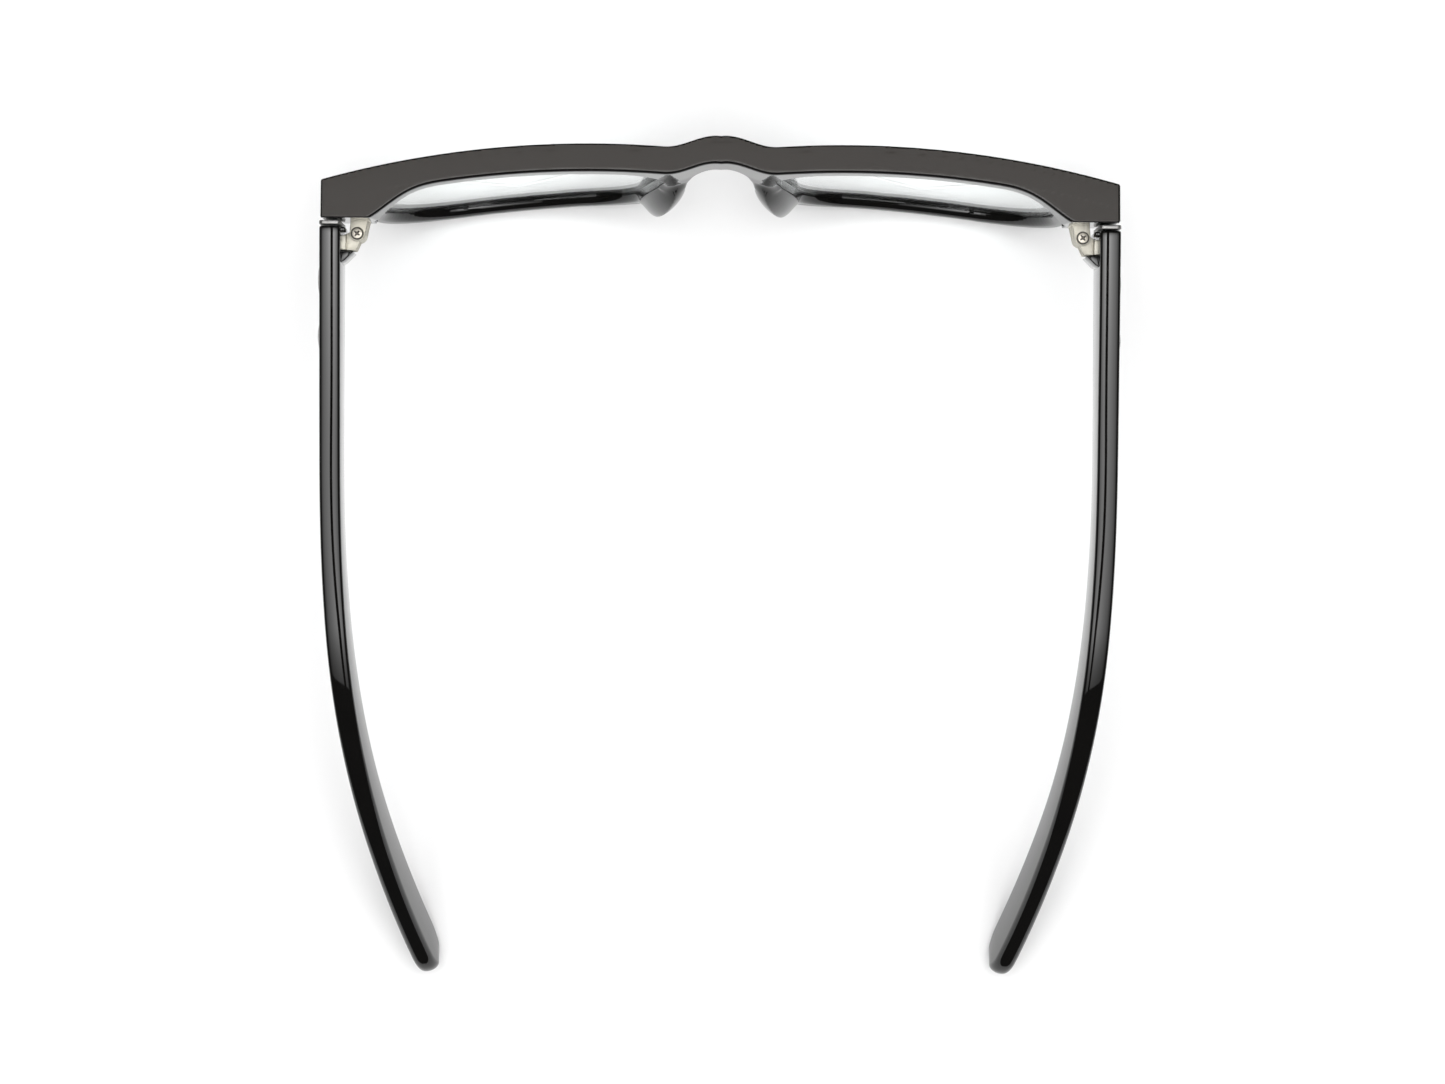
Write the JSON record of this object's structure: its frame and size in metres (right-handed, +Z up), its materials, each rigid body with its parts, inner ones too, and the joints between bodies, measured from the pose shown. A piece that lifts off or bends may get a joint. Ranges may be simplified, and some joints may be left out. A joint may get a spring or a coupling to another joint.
{
  "type": "eyeglasses",
  "caption": "Flat-brow acetate eyeglasses with clear lenses, bonded nose pads, five-knuckle barrel hinges and folding temples with metal trim.",
  "frame": {"origin": "centre of the overall box on the plane the glasses stand on, under the lower rims and temple tips", "axes": "+X towards the wearer's left, +Y from the front back to the temple tips, +Z up"},
  "size_m": [0.1468, 0.1556, 0.0467],
  "materials": {
    "acetate": "polished black acetate, satin on the top of the brow",
    "lens": "clear with an anti-reflection coating",
    "hinge_metal": "pale gold nickel silver",
    "screw_steel": "plain steel",
    "core_steel": "drawn wire, hidden",
    "trim_metal": "satin silver"
  },
  "bodies": {
    "frame": {"front": "acetate", "left_lens": "lens", "left_nose_pad": "acetate", "left_front_leaf": "hinge_metal", "left_hinge_screw": "screw_steel", "right_lens": "lens", "right_nose_pad": "acetate", "right_front_leaf": "hinge_metal", "right_hinge_screw": "screw_steel"},
    "left_temple_arm": {"left_temple": "acetate", "left_core_wire": "core_steel", "left_temple_leaf": "hinge_metal", "left_end_plate": "trim_metal", "left_front_stud": "trim_metal", "left_rear_stud": "trim_metal"},
    "right_temple_arm": {"right_temple": "acetate", "right_core_wire": "core_steel", "right_temple_leaf": "hinge_metal", "right_end_plate": "trim_metal", "right_front_stud": "trim_metal", "right_rear_stud": "trim_metal"}
  },
  "joints": [
    {"name": "left_temple_fold", "type": "hinge", "parent": "frame", "child": "left_temple_arm", "pos_m": [0.066, -0.05998, 0.0376], "axis": [0, 0, 1], "range_deg": [0, 86.5]},
    {"name": "right_temple_fold", "type": "hinge", "parent": "frame", "child": "right_temple_arm", "pos_m": [-0.066, -0.05998, 0.0376], "axis": [0, 0, -1], "range_deg": [0, 80]}
  ]
}
